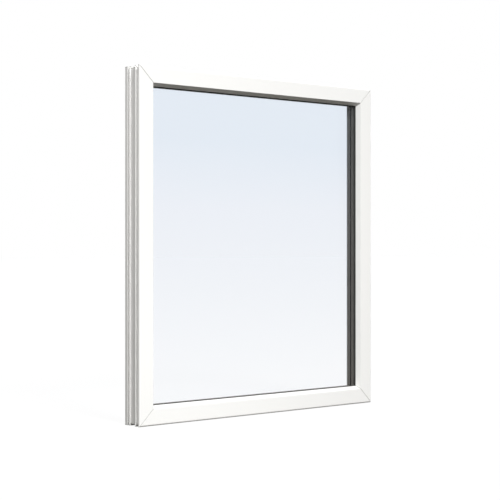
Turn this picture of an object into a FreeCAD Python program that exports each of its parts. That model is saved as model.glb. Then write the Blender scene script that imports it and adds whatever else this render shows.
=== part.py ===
"""Fixed picture window: a welded PVC-U frame with triple glazing, beads, gaskets and spacers.

Millimetres. +Z is up and +X is to the right seen from outside, where the exterior face looks along -Y.
A section point is (inset, depth): inset runs from the outermost wall-side plane towards the glass,
and depth runs from the exterior face towards the room.
"""
import FreeCAD, Part
import math
import os
from FreeCAD import Rotation, Vector

# Overall frame
frame_width = 880.0
frame_height = 980.0

# Exterior face and glazing lip
face_width = 45.5
outer_edge_radius = 5.0
chamfer_width = 8.5
chamfer_depth = 13.5
chamfer_edge_radius = 1.0
lip_land = 1.0
lip_edge_radius = 0.4
rebate_depth = 19.0

# Insulating glass unit
pane_thickness = 4.0
cavity_width = 12.0
edge_clearance = 5.0
spacer_setback = 6.0
spacer_height = 7.0
spacer_edge_radius = 1.0

# Gaskets
outer_gasket_thickness = 5.0
inner_gasket_thickness = 3.0
outer_gasket_reach = 1.5
inner_gasket_reach = 1.0
gasket_cover = 6.5
gasket_tip = 0.8
gasket_foot_width = 2.2
gasket_foot_depth = 2.0
gasket_foot_setback = 3.0
gasket_foot_clearance = 0.15

# Glazing bead
bead_depth = 11.5
bead_height = 12.0
bead_ledge = 2.5
bead_toe = 3.5
bead_edge_radius = 1.5
bead_wall = 1.6
bead_foot_setback = 3.5
bead_foot_width = 2.0
bead_foot_depth = 4.0
bead_hook_reach = 0.8
bead_hook_height = 1.6
bead_foot_clearance = 0.2

# Wall side of the frame
channel_depth = 4.5
front_land = 7.0
front_groove = 12.5
fin_stem = 1.5
fin_hook = 1.0
rear_groove = 8.0
rear_land = 12.5
rear_edge_radius = 2.0
land_edge_radius = 0.4

# Walls of the hollow extrusion
outer_wall = 3.0
inner_wall = 2.5
web_thickness = 1.5
narrow_chamber = 7.5
chamber_radius = 1.0

# Cleaned weld line at each corner of the frame
weld_groove_width = 2.4
weld_groove_depth = 0.8

# Drain slots in the sill: from the rebate into the front chamber, and out under the front groove
drain_length = 25.0
drain_width = 4.0
drain_end_distance = 160.0

# Glazing stack, front to back
lip_inset = face_width + chamfer_width
rebate_inset = lip_inset - rebate_depth
glass_inset = rebate_inset + edge_clearance
sight_inset = lip_inset + outer_gasket_reach
lip_back = chamfer_depth + lip_land
glass_front = lip_back + outer_gasket_thickness
pane_pitch = pane_thickness + cavity_width
glass_back = glass_front + 2 * pane_pitch + pane_thickness
bead_front = glass_back + inner_gasket_thickness
frame_depth = bead_front + bead_depth

# The origin is on the sill's rear bearing land, so depths are moved back by its middle
land_middle = frame_depth - rear_land / 2

# Cutters reach past what they cut by this much
overrun = 5.0

# Each side's turn about Y, from the sill's posture, and the middle of its outermost plane
SIDES = {
    "sill": (0, Vector(0, 0, 0), frame_width),
    "head": (180, Vector(0, 0, frame_height), frame_width),
    "left_jamb": (90, Vector(-frame_width / 2, 0, frame_height / 2), frame_height),
    "right_jamb": (-90, Vector(frame_width / 2, 0, frame_height / 2), frame_height),
}


def place(inset, depth, along=0.0):
    """A section point in the sill's posture, at a distance along the sill."""
    return Vector(along, depth - land_middle, inset)


def rounded_wire(corners):
    """A closed wire through (inset, depth, radius) corners, each rounded by a tangent arc."""
    points = [place(inset, depth) for inset, depth, radius in corners]
    edges = []
    ends = []
    for number, (inset, depth, radius) in enumerate(corners):
        corner = points[number]
        before = (points[number - 1] - corner).normalize()
        after = (points[(number + 1) % len(points)] - corner).normalize()
        if radius == 0:
            ends.append((corner, corner))
            continue
        half_angle = before.getAngle(after) / 2
        start = corner + before * (radius / math.tan(half_angle))
        finish = corner + after * (radius / math.tan(half_angle))
        inward = (before + after).normalize()
        middle = corner + inward * (radius / math.sin(half_angle) - radius)
        edges.append(Part.Arc(start, middle, finish).toShape())
        ends.append((start, finish))
    for number, (start, finish) in enumerate(ends):
        next_start = ends[(number + 1) % len(ends)][0]
        edges.append(Part.makeLine(finish, next_start))
    return Part.Wire(Part.sortEdges(edges)[0])


def sharp(corners):
    """The same corners with no rounding."""
    return [(inset, depth, 0) for inset, depth in corners]


def hollow(corners):
    """A hollow in the extrusion, with softened corners."""
    return rounded_wire([(inset, depth, chamber_radius) for inset, depth in corners])


def chamber(low_inset, high_inset, front, back):
    """A hollow with straight sides."""
    return hollow([(low_inset, front), (high_inset, front), (high_inset, back), (low_inset, back)])


def wall_side_corners():
    """Wall side, back to front: rear land, groove, hooked fin, fixing channel, hooked fin, groove, land."""
    rear_fin_back = frame_depth - rear_land - rear_groove
    channel_back = rear_fin_back - fin_stem - fin_hook
    front_fin_front = front_land + front_groove
    channel_front = front_fin_front + fin_stem + fin_hook
    return [
        (0, frame_depth - rear_land, land_edge_radius),
        (channel_depth, frame_depth - rear_land, 0),
        (channel_depth, rear_fin_back, 0),
        (0, rear_fin_back, land_edge_radius),
        (0, channel_back, land_edge_radius),
        (fin_hook, channel_back, 0),
        (fin_hook, channel_back + fin_hook, 0),
        (channel_depth, channel_back + fin_hook, 0),
        (channel_depth, channel_front - fin_hook, 0),
        (fin_hook, channel_front - fin_hook, 0),
        (fin_hook, channel_front, 0),
        (0, channel_front, land_edge_radius),
        (0, front_fin_front, land_edge_radius),
        (channel_depth, front_fin_front, 0),
        (channel_depth, front_land, 0),
        (0, front_land, land_edge_radius),
    ]


def bead_foot_corners(clearance):
    """The bead's hooked foot, front to back, or the groove that takes it where there is a clearance."""
    front = bead_front + bead_foot_setback - clearance
    back = bead_front + bead_foot_setback + bead_foot_width + clearance
    hook_top = rebate_inset - bead_foot_depth + bead_hook_height + clearance
    bottom = rebate_inset - bead_foot_depth - clearance
    return [
        (rebate_inset, front),
        (hook_top, front),
        (hook_top, front - bead_hook_reach),
        (bottom, front),
        (bottom, back),
        (rebate_inset, back),
    ]


def frame_outline():
    """Outside of the frame extrusion, from the exterior face round the glazing rebate to the wall side."""
    foot_top = lip_inset - gasket_foot_setback
    foot_bottom = foot_top - gasket_foot_width
    foot_front = lip_back - gasket_foot_depth
    corners = [
        (0, 0, outer_edge_radius),
        (face_width, 0, chamfer_edge_radius),
        (lip_inset, chamfer_depth, lip_edge_radius),
        (lip_inset, lip_back, lip_edge_radius),
    ]
    corners += sharp([
        (foot_top + gasket_foot_clearance, lip_back),
        (foot_top + gasket_foot_clearance, foot_front - gasket_foot_clearance),
        (foot_bottom - gasket_foot_clearance, foot_front - gasket_foot_clearance),
        (foot_bottom - gasket_foot_clearance, lip_back),
        (rebate_inset, lip_back),
    ])
    corners += sharp(bead_foot_corners(bead_foot_clearance))
    corners += [(rebate_inset, frame_depth, 0), (0, frame_depth, rear_edge_radius)]
    return rounded_wire(corners + wall_side_corners())


def frame_chambers():
    """Five chambers across the depth: the first slopes up into the lip, the last is under the bead groove."""
    low = channel_depth + inner_wall
    lip_high = lip_inset - gasket_foot_setback - gasket_foot_width - gasket_foot_clearance - inner_wall
    high = rebate_inset - inner_wall
    front_back = lip_back - inner_wall
    last_high = high - bead_foot_depth - bead_foot_clearance
    second_front = front_back + web_thickness
    third_front = second_front + narrow_chamber + web_thickness
    fourth_back = bead_front - web_thickness
    third_back = fourth_back - narrow_chamber - web_thickness
    front_corners = [
        (low, outer_wall),
        (face_width - outer_wall, outer_wall),
        (lip_high, front_back),
        (low, front_back),
    ]
    return [
        hollow(front_corners),
        chamber(low, high, second_front, second_front + narrow_chamber),
        chamber(low, high, third_front, third_back),
        chamber(low, high, fourth_back - narrow_chamber, fourth_back),
        chamber(low, last_high, bead_front, frame_depth - outer_wall),
    ]


def frame_section():
    return Part.makeFace([frame_outline()] + frame_chambers(), "Part::FaceMakerBullseye")


def bead_section():
    """Hollow snap-in bead: upright to the gasket, sloped to the room, with a foot in the frame's groove."""
    top = rebate_inset + bead_height
    upper = [
        (top, bead_front, 0),
        (top, bead_front + bead_ledge, bead_edge_radius),
        (rebate_inset + bead_toe, frame_depth, bead_edge_radius),
    ]
    lower = sharp([(rebate_inset, frame_depth), (rebate_inset, bead_front)])
    foot = sharp(reversed(bead_foot_corners(0.0)))
    hollow = rounded_wire(upper + lower).makeOffset2D(-bead_wall)
    outline = rounded_wire(upper + lower[:1] + foot + lower[1:])
    return Part.makeFace([outline, hollow], "Part::FaceMakerBullseye")


def outer_gasket_section():
    """Gasket between the lip and the glass, with a foot in the lip's groove and a tapered front."""
    foot_top = lip_inset - gasket_foot_setback
    foot_bottom = foot_top - gasket_foot_width
    corners = sharp([
        (lip_inset - gasket_cover, glass_front),
        (sight_inset, glass_front),
        (sight_inset, glass_front - gasket_tip),
        (lip_inset, lip_back),
        (foot_top, lip_back),
        (foot_top, lip_back - gasket_foot_depth),
        (foot_bottom, lip_back - gasket_foot_depth),
        (foot_bottom, lip_back),
        (lip_inset - gasket_cover, lip_back),
    ])
    return Part.Face(rounded_wire(corners))


def inner_gasket_section():
    """Gasket between the glass and the bead, with a tapered lip that shows from the room."""
    bead_top = rebate_inset + bead_height
    corners = sharp([
        (bead_top - gasket_cover, glass_back),
        (bead_top + inner_gasket_reach, glass_back),
        (bead_top + inner_gasket_reach, glass_back + gasket_tip),
        (bead_top, bead_front),
        (bead_top - gasket_cover, bead_front),
    ])
    return Part.Face(rounded_wire(corners))


def spacer_section(front):
    """Spacer bar that fills a cavity's width, set back from the glass edge."""
    low = glass_inset + spacer_setback
    high = low + spacer_height
    back = front + cavity_width
    return Part.Face(rounded_wire([
        (low, front, spacer_edge_radius),
        (high, front, 0),
        (high, back, 0),
        (low, back, spacer_edge_radius),
    ]))


def mitre_cutter(length, end, groove_width, groove_depth):
    """Takes off what lies past one end's mitre plane, with half a V-groove along its front and back edges."""
    reach = sight_inset + overrun
    slope = groove_width / 2 / groove_depth if groove_depth else 0.0
    flare = slope * (groove_depth + overrun)
    outline = [
        (reach, -overrun),
        (-flare, -overrun),
        (0, groove_depth),
        (0, frame_depth - groove_depth),
        (-flare, frame_depth + overrun),
        (reach, frame_depth + overrun),
    ]
    outward = Vector(end, 0, 1).normalize()
    inward = Vector(-end, 0, 1).normalize()
    base = place(0, 0, end * length / 2) - inward * overrun
    points = [base + outward * past + Vector(0, depth, 0) for past, depth in outline]
    return Part.Face(Part.makePolygon(points + points[:1])).extrude(inward * 2 * reach)


def mitred_member(section, side, groove_width=0.0, groove_depth=0.0):
    """One side of a mitred ring: the section run along the side and cut at both mitre planes."""
    turn, middle, length = SIDES[side]
    bar = section.copy()
    bar.translate(Vector(-length / 2, 0, 0))
    bar = bar.extrude(Vector(length, 0, 0))
    cutters = [mitre_cutter(length, end, groove_width, groove_depth) for end in (-1, 1)]
    member = bar.cut(cutters)
    member.Placement = FreeCAD.Placement(middle, Rotation(Vector(0, 1, 0), turn))
    return member


def ring(section, groove_width=0.0, groove_depth=0.0):
    """The four sides of a mitred ring, by side."""
    return {side: mitred_member(section, side, groove_width, groove_depth) for side in SIDES}


def drain_slot(middle, across, through):
    """A milled slot along the sill with round ends, cut through in one direction."""
    run = Vector((drain_length - drain_width) / 2, 0, 0)
    tip = Vector(drain_length / 2, 0, 0)
    side = across * (drain_width / 2)
    edges = [
        Part.makeLine(middle - run + side, middle + run + side),
        Part.Arc(middle + run + side, middle + tip, middle + run - side).toShape(),
        Part.makeLine(middle + run - side, middle - run - side),
        Part.Arc(middle - run - side, middle - tip, middle - run + side).toShape(),
    ]
    return Part.Face(Part.Wire(edges)).extrude(through)


def drain_cutters():
    """Slots near both ends of the sill, on the rebate floor through the lip and under the front chamber."""
    chamber_middle = (outer_wall + lip_back - inner_wall) / 2
    outlet_middle = (front_land + lip_back - inner_wall) / 2
    inlet_run = Vector(0, lip_back - chamber_middle + overrun, 0)
    outlet_run = Vector(0, 0, channel_depth + 2 * inner_wall)
    cutters = []
    for end in (-1, 1):
        along = end * (frame_width / 2 - drain_end_distance)
        inlet = place(rebate_inset + drain_width / 2, chamber_middle, along)
        outlet = place(0, outlet_middle, along)
        cutters.append(drain_slot(inlet, Vector(0, 0, 1), inlet_run))
        cutters.append(drain_slot(outlet, Vector(0, 1, 0), outlet_run))
    return cutters


def pane(front):
    """One sheet of glass, its front face at a depth."""
    width = frame_width - 2 * glass_inset
    height = frame_height - 2 * glass_inset
    return Part.makeBox(width, pane_thickness, height, place(glass_inset, front, -width / 2))


def save(shape, node):
    """Writes one solid as a node."""
    solid = shape.Solids[0]
    if len(shape.Solids) != 1 or not solid.isValid():
        raise ValueError("%s is not one valid solid" % node)
    solid.exportStep("parts/%s.step" % node)


def save_ring(members, ending):
    """Writes a ring's four sides, named by side."""
    for side, member in members.items():
        save(member, side + ending)


def main():
    os.makedirs("parts", exist_ok=True)
    frame = ring(frame_section(), weld_groove_width, weld_groove_depth)
    frame["sill"] = frame["sill"].cut(drain_cutters())
    save_ring(frame, "")
    save_ring(ring(bead_section()), "_bead")
    save_ring(ring(outer_gasket_section()), "_outer_gasket")
    save_ring(ring(inner_gasket_section()), "_inner_gasket")
    for number, name in enumerate(("outer", "inner")):
        cavity_front = glass_front + pane_thickness + number * pane_pitch
        save_ring(ring(spacer_section(cavity_front)), "_%s_spacer" % name)
    for number, name in enumerate(("outer", "middle", "inner")):
        save(pane(glass_front + number * pane_pitch), name + "_pane")


main()
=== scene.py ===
"""Looks of the fixed picture window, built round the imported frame. Metres, +Z up, exterior towards -Y."""
import math

import bpy
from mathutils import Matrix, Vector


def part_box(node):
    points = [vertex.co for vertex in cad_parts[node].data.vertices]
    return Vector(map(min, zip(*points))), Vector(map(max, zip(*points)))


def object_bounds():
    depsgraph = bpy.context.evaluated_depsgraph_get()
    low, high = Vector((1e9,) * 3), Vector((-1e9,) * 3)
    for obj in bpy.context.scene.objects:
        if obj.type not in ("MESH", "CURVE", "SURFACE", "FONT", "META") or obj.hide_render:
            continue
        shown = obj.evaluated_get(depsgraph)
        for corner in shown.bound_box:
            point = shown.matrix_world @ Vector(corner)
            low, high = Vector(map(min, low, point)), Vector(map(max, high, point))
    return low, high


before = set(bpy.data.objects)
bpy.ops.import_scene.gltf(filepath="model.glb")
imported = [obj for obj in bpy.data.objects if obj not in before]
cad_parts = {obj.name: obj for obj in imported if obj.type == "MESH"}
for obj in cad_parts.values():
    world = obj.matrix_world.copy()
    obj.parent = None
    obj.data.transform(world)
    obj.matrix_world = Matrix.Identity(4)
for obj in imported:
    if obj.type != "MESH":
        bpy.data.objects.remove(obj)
cad_low, cad_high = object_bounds()

# Camera, from a fit to the window's edges in the photo
CAMERA_PLACE = (-2.4292, -2.9323, 0.4896)
CAMERA_YAW = math.radians(39.639)
FOCAL_PIXELS = 1289.2
IMAGE_PIXELS = 500
SENSOR_MM = 36.0
HORIZON_PIXEL = 246.0

# Colours, linear
WHITE = (1.0, 1.0, 1.0)
PVC_WHITE = (0.885, 0.883, 0.868)
PVC_SHADE = (0.868, 0.866, 0.853)
SEAM_PAINTED_SHADE = (0.57, 0.57, 0.55)
RUBBER_DARK = (0.030, 0.030, 0.029)
RUBBER_WORN = (0.058, 0.058, 0.056)
SPACER_GREY = (0.215, 0.204, 0.189)
SPACER_SHADE = (0.194, 0.184, 0.171)
# Black of the butyl seal, also painted into the spacer slots as their shade
BUTYL_AND_SLOT_SHADE_BLACK = (0.012, 0.012, 0.012)
HAZE = (0.42, 0.415, 0.40)
SKY = (1.0, 0.985, 0.955)
GROUND_NEAR = (0.10, 0.09, 0.06)
GROUND_FAR = (0.25, 0.25, 0.24)

# Noise: its scale per metre and its levels of detail
PVC_LINES = (900.0, 3.0)
PVC_GRAIN = (1400.0, 1.0)
PVC_CLOUDS = (6.0, 2.0)
RUBBER_LINES = (1200.0, 2.0)
RUBBER_GRAIN = (2500.0, 2.0)
SPACER_GRAIN = (1500.0, 2.0)
GLASS_WAVES = (2.5, 2.0)

# Scale of drawn-out noise along an extrusion, as a share of its scale across
PVC_DRAW = 0.004
RUBBER_DRAW = 0.01
SPACER_DRAW = 0.02

# Finish: the range of roughness and the height of the relief
PVC_ROUGHNESS = (0.30, 0.42)
PVC_GRAIN_SHARE = 0.6
PVC_RELIEF = 0.00002
PVC_RELIEF_STRENGTH = 0.5
RUBBER_ROUGHNESS = (0.5, 0.75)
RUBBER_RELIEF = 0.00005
SPACER_ROUGHNESS = (0.4, 0.55)
SPACER_RELIEF = 0.00003
GLASS_RELIEF = 0.00002

# Painted shade along the weld grooves at the mitred corners
SEAM_HALF_WIDTH = 0.0009
SEAM_FADE = 0.0005

# Two rows of slots in the spacer bars, which let the drying agent inside reach the cavity
SLOT_ROW_OFFSET = 0.0026
SLOT_HALF_WIDTH = 0.0003
SLOT_PITCH = 0.005
SLOT_LENGTH = 0.002
SLOT_DEPTH_IN_RELIEFS = 6.0

# A spacer's face meets the glass where its normal has more than this along Y
SEALED_FACING = 0.7

# Glass: its mirror share face on, how steeply that grows to a glancing angle, and its tint by height, a
# faint real tint at the bottom with a painted sky reflection, darker and bluer, towards the top
GLASS_REFLECTANCE = 0.008
GLASS_STEEPNESS = 5.0
TINT_AND_PAINTED_SKY_STOPS = ((0.10, (0.995, 0.997, 1.0)), (0.60, (0.975, 0.981, 0.991)), (0.79, (0.960, 0.972, 0.986)))
CLEAR_SURFACES = 24

# Surroundings: what mirrors see and what lights surfaces, from straight down (0) to straight up (1)
SKY_STOPS = ((0.0, GROUND_NEAR), (0.44, GROUND_FAR), (0.49, HAZE), (0.535, SKY))
DOME_STOPS = ((0.0, (0.0,) * 3), (0.5, (0.20,) * 3), (1.0, (0.28,) * 3))

# Lamps, placed from the window's middle
WINDOW_MIDDLE = (Vector(cad_low) + Vector(cad_high)) / 2
KEY_PLACE = WINDOW_MIDDLE + Vector((-0.4, -3.2, 2.75))
KEY_STRENGTH = 3.04
KEY_ANGLE = math.radians(18)
BACK_PLACE = WINDOW_MIDDLE + Vector((2.1, 2.5, 0.15))
BACK_STRENGTH = 4.4
BACK_ANGLE = math.radians(30)
SIDE_PLACE = WINDOW_MIDDLE + Vector((-2.0, -1.8, 1.45))
SIDE_SIZE = 1.0
SIDE_POWER = 28.5
WALL_PLACE = WINDOW_MIDDLE + Vector((-2.6, 0.1, -0.17))
WALL_SIZE = 0.6
WALL_POWER = 3.9
FILL_PLACE = WINDOW_MIDDLE + Vector((-0.35, -0.75, -0.38))
FILL_SIZE = 0.2
FILL_POWER = 0.78

# Floor
FLOOR_REACH = 40.0
FLOOR_DROP = 0.0005
FLOOR_GLOW = 0.935
FLOOR_SHADOW_SHARE = 0.07
FLOOR_BOUNCE = (0.034, 0.028, 0.014)

# The window's sides by the axis that they run along
SIDES = {"x": ("sill", "head"), "z": ("left_jamb", "right_jamb")}

# The colour sockets of a mix node, which share their names with its sockets for other kinds of data
MIX_LOW = 6
MIX_HIGH = 7
MIX_RESULT = 2


def new_material(name):
    """An empty node material and its tree."""
    material = bpy.data.materials.new(name)
    material.use_nodes = True
    material.node_tree.nodes.clear()
    return material, material.node_tree


def put(tree, socket, value):
    """Sets an input to a value, or links it to another node's output."""
    if isinstance(value, bpy.types.NodeSocket):
        tree.links.new(value, socket)
    elif socket.type == "RGBA":
        socket.default_value = (*value, 1.0)
    else:
        socket.default_value = value


def add(tree, kind, **inputs):
    """A node with its inputs set. An underscore in an input's name stands for a space."""
    made = tree.nodes.new(kind)
    for name, value in inputs.items():
        put(tree, made.inputs[name.replace("_", " ")], value)
    return made


def show(tree, shader):
    """The shader that the material shows."""
    add(tree, "ShaderNodeOutputMaterial", Surface=shader)


def place_in_frame(tree):
    """A point's place in the shared frame."""
    return add(tree, "ShaderNodeTexCoord").outputs["Object"]


def split(tree, vector):
    """A vector's X, Y and Z."""
    return add(tree, "ShaderNodeSeparateXYZ", Vector=vector).outputs


def drawn_out(tree, axis, share):
    """Places in the frame with one axis scaled down, so that a texture is drawn out along it."""
    factors = tuple(share if name == axis else 1.0 for name in "xyz")
    return add(tree, "ShaderNodeMapping", Vector=place_in_frame(tree), Scale=factors).outputs["Vector"]


def noise(tree, vector, scale, detail):
    """Noise between 0 and 1."""
    return add(tree, "ShaderNodeTexNoise", Vector=vector, Scale=scale, Detail=detail).outputs["Fac"]


def calculate(tree, operation, first, second=0.0):
    """A calculation with one or two numbers, each a value or a node's output."""
    made = add(tree, "ShaderNodeMath")
    made.operation = operation
    put(tree, made.inputs[0], first)
    put(tree, made.inputs[1], second)
    return made.outputs["Value"]


def distance_between(tree, first, second):
    """How far apart two numbers are."""
    return calculate(tree, "ABSOLUTE", calculate(tree, "SUBTRACT", first, second))


def rescale(tree, value, low, high, from_low=0.0, from_high=1.0):
    """A value moved from one range to another and kept inside it."""
    made = add(
        tree, "ShaderNodeMapRange", Value=value,
        From_Min=from_low, From_Max=from_high, To_Min=low, To_Max=high,
    )
    return made.outputs["Result"]


def blend(tree, factor, low, high):
    """A colour between two by a factor."""
    made = add(tree, "ShaderNodeMix")
    made.data_type = "RGBA"
    put(tree, made.inputs["Factor"], factor)
    put(tree, made.inputs[MIX_LOW], low)
    put(tree, made.inputs[MIX_HIGH], high)
    return made.outputs[MIX_RESULT]


def ramp(tree, value, stops):
    """A colour ramp through (position, colour) stops."""
    made = add(tree, "ShaderNodeValToRGB", Fac=value)
    elements = made.color_ramp.elements
    while len(elements) < len(stops):
        elements.new(0.5)
    for element, (position, colour) in zip(elements, stops):
        element.position = position
        element.color = (*colour, 1.0)
    return made.outputs["Color"]


def bump(tree, height, distance, strength=1.0):
    """A surface normal from a height between 0 and 1 that stands for a distance in metres."""
    return add(tree, "ShaderNodeBump", Height=height, Distance=distance, Strength=strength).outputs["Normal"]


def choose(tree, factor, plain, other):
    """A mix of two shaders, which is the other one where the factor is 1."""
    mix = add(tree, "ShaderNodeMixShader", Fac=factor)
    put(tree, mix.inputs[1], plain)
    put(tree, mix.inputs[2], other)
    return mix.outputs["Shader"]


def ray_kinds(tree):
    """Two factors: 1 for rays from the camera, also through glass, and 1 for rays from a mirror."""
    rays = add(tree, "ShaderNodeLightPath").outputs
    seen = calculate(tree, "MAXIMUM", rays["Is Camera Ray"], rays["Is Transmission Ray"])
    return seen, rays["Is Glossy Ray"]


def seam(tree):
    """1 along the mitre line at each corner of the window, and 0 a little way off."""
    place = split(tree, place_in_frame(tree))
    half = (Vector(cad_high) - Vector(cad_low)) / 2
    from_side = calculate(tree, "SUBTRACT", half.x, calculate(tree, "ABSOLUTE", place["X"]))
    from_end = calculate(tree, "SUBTRACT", half.z, distance_between(tree, place["Z"], half.z))
    off_line = calculate(tree, "DIVIDE", distance_between(tree, from_side, from_end), math.sqrt(2.0))
    return rescale(tree, off_line, 1.0, 0.0, SEAM_HALF_WIDTH, SEAM_HALF_WIDTH + SEAM_FADE)


def pvc(name, axis):
    """Satin white plastic, with draw lines along the extrusion, a fine grain and painted shade along the
    mitre grooves.
    """
    material, tree = new_material(name)
    place = place_in_frame(tree)
    lines = noise(tree, drawn_out(tree, axis, PVC_DRAW), *PVC_LINES)
    clouds = noise(tree, place, *PVC_CLOUDS)
    grain = noise(tree, place, *PVC_GRAIN)
    height = calculate(tree, "ADD", lines, calculate(tree, "MULTIPLY", grain, PVC_GRAIN_SHARE))
    plastic = blend(tree, clouds, PVC_SHADE, PVC_WHITE)
    # The mitre lines are painted darker grey, as painted shade in the weld grooves.
    shader = add(
        tree, "ShaderNodeBsdfPrincipled",
        Base_Color=blend(tree, seam(tree), plastic, SEAM_PAINTED_SHADE),
        Roughness=rescale(tree, lines, *PVC_ROUGHNESS),
        Normal=bump(tree, height, PVC_RELIEF, PVC_RELIEF_STRENGTH),
    )
    show(tree, shader.outputs["BSDF"])
    return material


def rubber(name, axis):
    """Dark gasket rubber, a little greyer where it has rubbed, with lines along its length."""
    material, tree = new_material(name)
    lines = noise(tree, drawn_out(tree, axis, RUBBER_DRAW), *RUBBER_LINES)
    grain = noise(tree, place_in_frame(tree), *RUBBER_GRAIN)
    shader = add(
        tree, "ShaderNodeBsdfPrincipled",
        Base_Color=blend(tree, lines, RUBBER_DARK, RUBBER_WORN),
        Roughness=rescale(tree, grain, *RUBBER_ROUGHNESS),
        Normal=bump(tree, grain, RUBBER_RELIEF),
    )
    show(tree, shader.outputs["BSDF"])
    return material


def slots(tree, axis, middle):
    """1 in the rows of slots on either side of a spacer bar's middle line, and 0 elsewhere."""
    place = split(tree, place_in_frame(tree))
    from_row = distance_between(tree, distance_between(tree, place["Y"], middle), SLOT_ROW_OFFSET)
    from_centre = calculate(tree, "PINGPONG", place[axis.upper()], SLOT_PITCH / 2)
    in_row = calculate(tree, "LESS_THAN", from_row, SLOT_HALF_WIDTH)
    in_slot = calculate(tree, "LESS_THAN", from_centre, SLOT_LENGTH / 2)
    return calculate(tree, "MULTIPLY", in_row, in_slot)


def sealed_faces(tree):
    """1 on the two faces of a spacer bar that meet the glass, and 0 elsewhere."""
    facing = split(tree, add(tree, "ShaderNodeNewGeometry").outputs["True Normal"])
    return calculate(tree, "GREATER_THAN", calculate(tree, "ABSOLUTE", facing["Y"]), SEALED_FACING)


def spacer(name, axis, middle):
    """Matt grey spacer bar with slots painted black as painted shade of their hollows, and the black butyl
    seal on the two faces that meet the glass.
    """
    material, tree = new_material(name)
    grain = noise(tree, drawn_out(tree, axis, SPACER_DRAW), *SPACER_GRAIN)
    holes = slots(tree, axis, middle)
    # The slots get the butyl's black too, as painted shade inside them.
    dark = calculate(tree, "MAXIMUM", sealed_faces(tree), holes)
    bar = blend(tree, grain, SPACER_SHADE, SPACER_GREY)
    height = calculate(tree, "SUBTRACT", grain, calculate(tree, "MULTIPLY", holes, SLOT_DEPTH_IN_RELIEFS))
    shader = add(
        tree, "ShaderNodeBsdfPrincipled",
        Base_Color=blend(tree, dark, bar, BUTYL_AND_SLOT_SHADE_BLACK),
        Roughness=rescale(tree, grain, *SPACER_ROUGHNESS),
        Normal=bump(tree, height, SPACER_RELIEF),
    )
    show(tree, shader.outputs["BSDF"])
    return material


def glass():
    """Clear float glass: it passes light with a faint tint, darkened and blued towards the top as a painted
    sky reflection, and mirrors more at a glancing angle.
    """
    material, tree = new_material("float_glass")
    place = place_in_frame(tree)
    # The tint darkens and turns bluer with height: a painted sky reflection over a faint real tint.
    tint = ramp(tree, split(tree, place)["Z"], TINT_AND_PAINTED_SKY_STOPS)
    through = add(tree, "ShaderNodeBsdfTransparent", Color=tint).outputs["BSDF"]
    normal = bump(tree, noise(tree, place, *GLASS_WAVES), GLASS_RELIEF)
    mirror = add(tree, "ShaderNodeBsdfGlossy", Roughness=0.0, Normal=normal).outputs["BSDF"]
    glancing = add(tree, "ShaderNodeLayerWeight").outputs["Facing"]
    growth = calculate(tree, "POWER", glancing, GLASS_STEEPNESS)
    share = rescale(tree, growth, GLASS_REFLECTANCE, 1.0)
    show(tree, choose(tree, share, through, mirror))
    return material


def paint(node, material):
    """Gives a CAD node one material."""
    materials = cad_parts[node].data.materials
    materials.clear()
    materials.append(material)


def middle_depth(node):
    """The middle of a node from front to back."""
    low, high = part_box(node)
    return (low[1] + high[1]) / 2


def dress_nodes():
    """Materials for every CAD node."""
    for axis, sides in SIDES.items():
        plastic = pvc("pvc_" + axis, axis)
        seal = rubber("rubber_" + axis, axis)
        for side in sides:
            paint(side, plastic)
            paint(side + "_bead", plastic)
        for place in ("outer", "inner"):
            bars = ["%s_%s_spacer" % (side, place) for side in sides]
            bar = spacer("spacer_%s_%s" % (place, axis), axis, middle_depth(bars[0]))
            for side, node in zip(sides, bars):
                paint(node, bar)
                paint("%s_%s_gasket" % (side, place), seal)
    clear = glass()
    for place in ("outer", "middle", "inner"):
        paint(place + "_pane", clear)


def backdrop(tree, colour):
    """A background shader of one colour, or of a node's output."""
    return add(tree, "ShaderNodeBackground", Color=colour).outputs["Background"]


def make_world():
    """White to the camera, a pale sky over dim ground to mirrors, and a dim dome of light to surfaces."""
    world = bpy.data.worlds.new("studio")
    world.use_nodes = True
    tree = world.node_tree
    tree.nodes.clear()
    direction = add(tree, "ShaderNodeTexCoord").outputs["Generated"]
    height = rescale(tree, split(tree, direction)["Z"], 0.0, 1.0, -1.0, 1.0)
    sky = ramp(tree, height, SKY_STOPS)
    dome = ramp(tree, height, DOME_STOPS)
    seen, mirrored = ray_kinds(tree)
    shader = choose(tree, mirrored, backdrop(tree, dome), backdrop(tree, sky))
    shader = choose(tree, seen, shader, backdrop(tree, WHITE))
    add(tree, "ShaderNodeOutputWorld", Surface=shader)
    bpy.context.scene.world = world


def floor_material():
    """White to the camera with a faint shadow, dim to surfaces, clear to mirrors and from beneath."""
    material, tree = new_material("floor")
    glow = add(tree, "ShaderNodeEmission", Color=WHITE, Strength=FLOOR_GLOW).outputs["Emission"]
    lit = add(tree, "ShaderNodeBsdfDiffuse", Color=(FLOOR_SHADOW_SHARE,) * 3).outputs["BSDF"]
    white = add(tree, "ShaderNodeAddShader")
    put(tree, white.inputs[0], glow)
    put(tree, white.inputs[1], lit)
    dim = add(tree, "ShaderNodeBsdfDiffuse", Color=FLOOR_BOUNCE).outputs["BSDF"]
    clear = add(tree, "ShaderNodeBsdfTransparent").outputs["BSDF"]
    seen, mirrored = ray_kinds(tree)
    shader = choose(tree, seen, dim, white.outputs["Shader"])
    beneath = add(tree, "ShaderNodeNewGeometry").outputs["Backfacing"]
    show(tree, choose(tree, calculate(tree, "MAXIMUM", mirrored, beneath), shader, clear))
    return material


def make_floor():
    """A level floor just under the sill."""
    mesh = bpy.data.meshes.new("floor")
    reach = FLOOR_REACH
    corners = [(-reach, -reach, 0), (reach, -reach, 0), (reach, reach, 0), (-reach, reach, 0)]
    mesh.from_pydata(corners, [], [(0, 1, 2, 3)])
    mesh.materials.append(floor_material())
    floor = bpy.data.objects.new("floor", mesh)
    floor.location.z = -FLOOR_DROP
    bpy.context.scene.collection.objects.link(floor)


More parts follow.
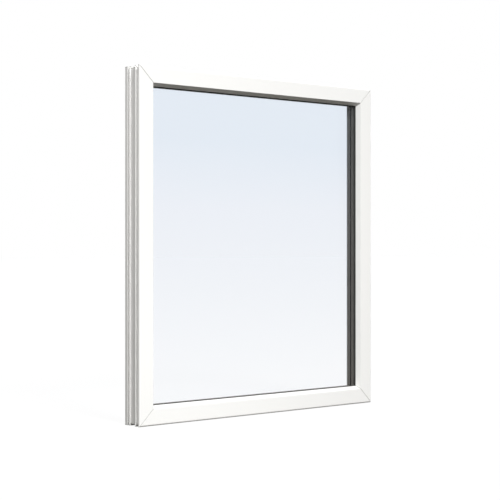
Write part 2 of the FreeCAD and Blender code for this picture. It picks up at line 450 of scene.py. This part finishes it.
def add_lamp(name, lamp, place):
    """Puts a lamp at a place, turned to the window's middle, out of sight of the camera and mirrors."""
    lamp_object = bpy.data.objects.new(name, lamp)
    lamp_object.location = place
    look = WINDOW_MIDDLE - lamp_object.location
    lamp_object.rotation_euler = look.to_track_quat("-Z", "Y").to_euler()
    lamp_object.visible_camera = False
    lamp_object.visible_glossy = False
    bpy.context.scene.collection.objects.link(lamp_object)


def add_panel(name, place, size, power):
    """A square panel of light."""
    panel = bpy.data.lights.new(name, "AREA")
    panel.shape = "SQUARE"
    panel.size = size
    panel.energy = power
    add_lamp(name, panel, place)


def add_sun(name, place, strength, angle):
    """Even light from one side, softened by the angle that its disc spans."""
    sun = bpy.data.lights.new(name, "SUN")
    sun.energy = strength
    sun.angle = angle
    add_lamp(name, sun, place)


def make_lamps():
    """Suns from the front above and from the room's right, and panels front left, left and low in front."""
    add_sun("key", KEY_PLACE, KEY_STRENGTH, KEY_ANGLE)
    add_sun("back", BACK_PLACE, BACK_STRENGTH, BACK_ANGLE)
    add_panel("side", SIDE_PLACE, SIDE_SIZE, SIDE_POWER)
    add_panel("wall", WALL_PLACE, WALL_SIZE, WALL_POWER)
    add_panel("fill", FILL_PLACE, FILL_SIZE, FILL_POWER)


def make_camera():
    """The photo's view: level, from the left, with the horizon a little above the middle."""
    camera = bpy.data.cameras.new("camera")
    camera.sensor_width = SENSOR_MM
    camera.lens = FOCAL_PIXELS / IMAGE_PIXELS * SENSOR_MM
    camera.shift_y = (HORIZON_PIXEL - IMAGE_PIXELS / 2) / IMAGE_PIXELS
    camera_object = bpy.data.objects.new("camera", camera)
    camera_object.location = CAMERA_PLACE
    camera_object.rotation_euler = (math.pi / 2, 0.0, -CAMERA_YAW)
    bpy.context.scene.collection.objects.link(camera_object)
    bpy.context.scene.camera = camera_object


dress_nodes()
make_world()
make_floor()
make_lamps()
make_camera()
bpy.context.scene.view_settings.view_transform = "Standard"
bpy.context.scene.cycles.transparent_max_bounces = CLEAR_SURFACES
